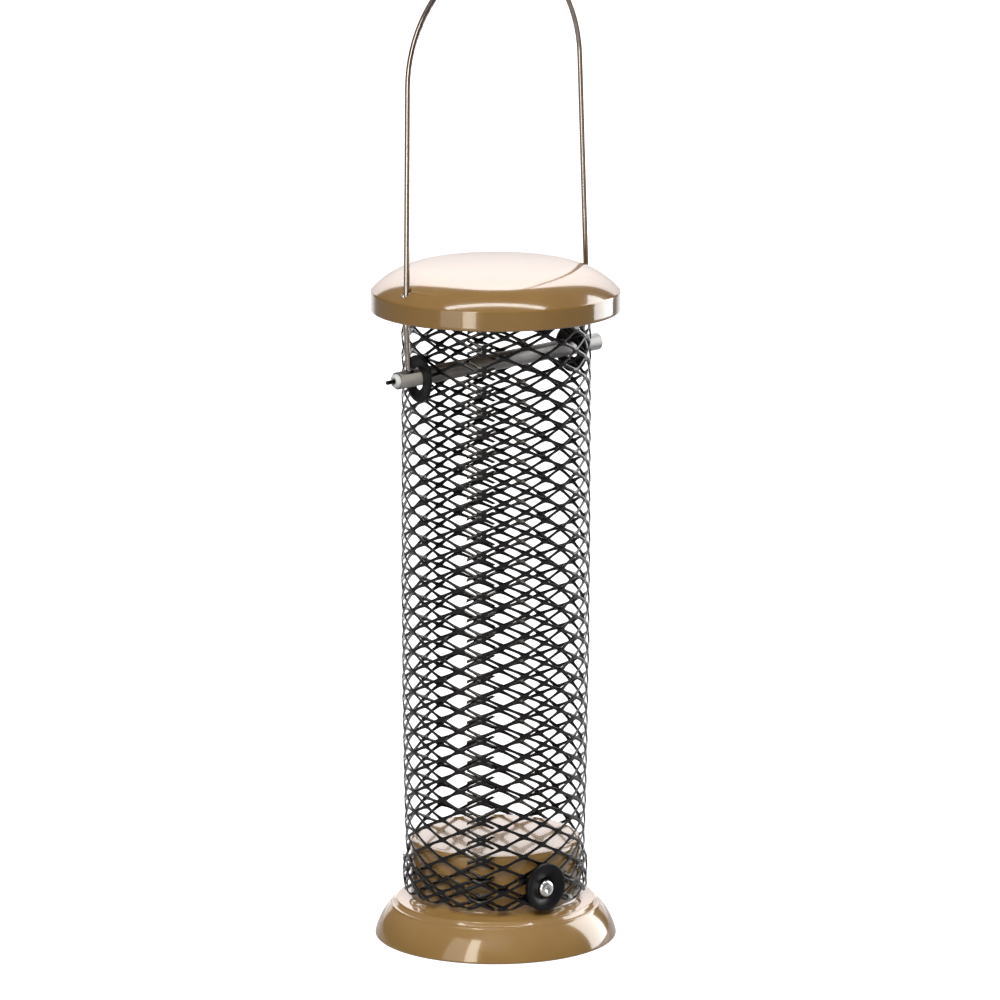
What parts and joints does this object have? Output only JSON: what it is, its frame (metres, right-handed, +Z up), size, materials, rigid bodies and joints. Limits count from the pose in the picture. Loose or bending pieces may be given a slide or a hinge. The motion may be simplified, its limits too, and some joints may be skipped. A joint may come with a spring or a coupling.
{
  "type": "hanging bird feeder",
  "caption": "Hanging bird feeder: an open metal mesh seed tube with a flared painted base, a domed lid that slides up a wire bail, and a crossbar that carries it.",
  "frame": {"origin": "centre of the base's bottom ring, on the surface it stands on", "axes": "+Z up along the seed tube, +X along the crossbar towards its longer end, Y across the crossbar"},
  "size_m": [0.0949, 0.0868, 0.3504],
  "materials": {
    "olive_gold_paint": "gloss",
    "black_mesh_coating": "satin",
    "steel_wire": "bright drawn wire",
    "bar_aluminium": "satin",
    "clear_bush": "translucent",
    "black_washer": "satin",
    "zinc_screw": "bright zinc"
  },
  "bodies": {
    "feeder_body": {"base": "olive_gold_paint", "mesh_tube": "black_mesh_coating", "base_washer_front": "black_washer", "base_washer_rear": "black_washer", "base_screw_front": "zinc_screw", "base_screw_rear": "zinc_screw"},
    "hanger": {"bail_handle": "steel_wire", "crossbar_tube": "bar_aluminium", "wire_bush_left": "clear_bush", "wire_bush_right": "clear_bush"},
    "lid": {"lid": "olive_gold_paint"},
    "washer_left": {"bar_washer_left": "black_washer"},
    "washer_right": {"bar_washer_right": "black_washer"}
  },
  "joints": [
    {"name": "hanger_rock", "type": "hinge", "parent": "feeder_body", "child": "hanger", "pos_m": [0, 0, 0.2051], "axis": [0.9994, 0, 0.0349], "range_deg": [-1, 1]},
    {"name": "lid_lift", "type": "slide", "parent": "hanger", "child": "lid", "axis": [0, 0, 1], "range_m": [0, 0.03]},
    {"name": "washer_left_spin", "type": "hinge", "parent": "hanger", "child": "washer_left", "pos_m": [-0.0343, 0, 0.2032], "axis": [-0.9903, 0.1392, 0], "continuous": true},
    {"name": "washer_right_spin", "type": "hinge", "parent": "hanger", "child": "washer_right", "pos_m": [0.0343, 0, 0.2056], "axis": [1, 0, 0], "continuous": true}
  ]
}
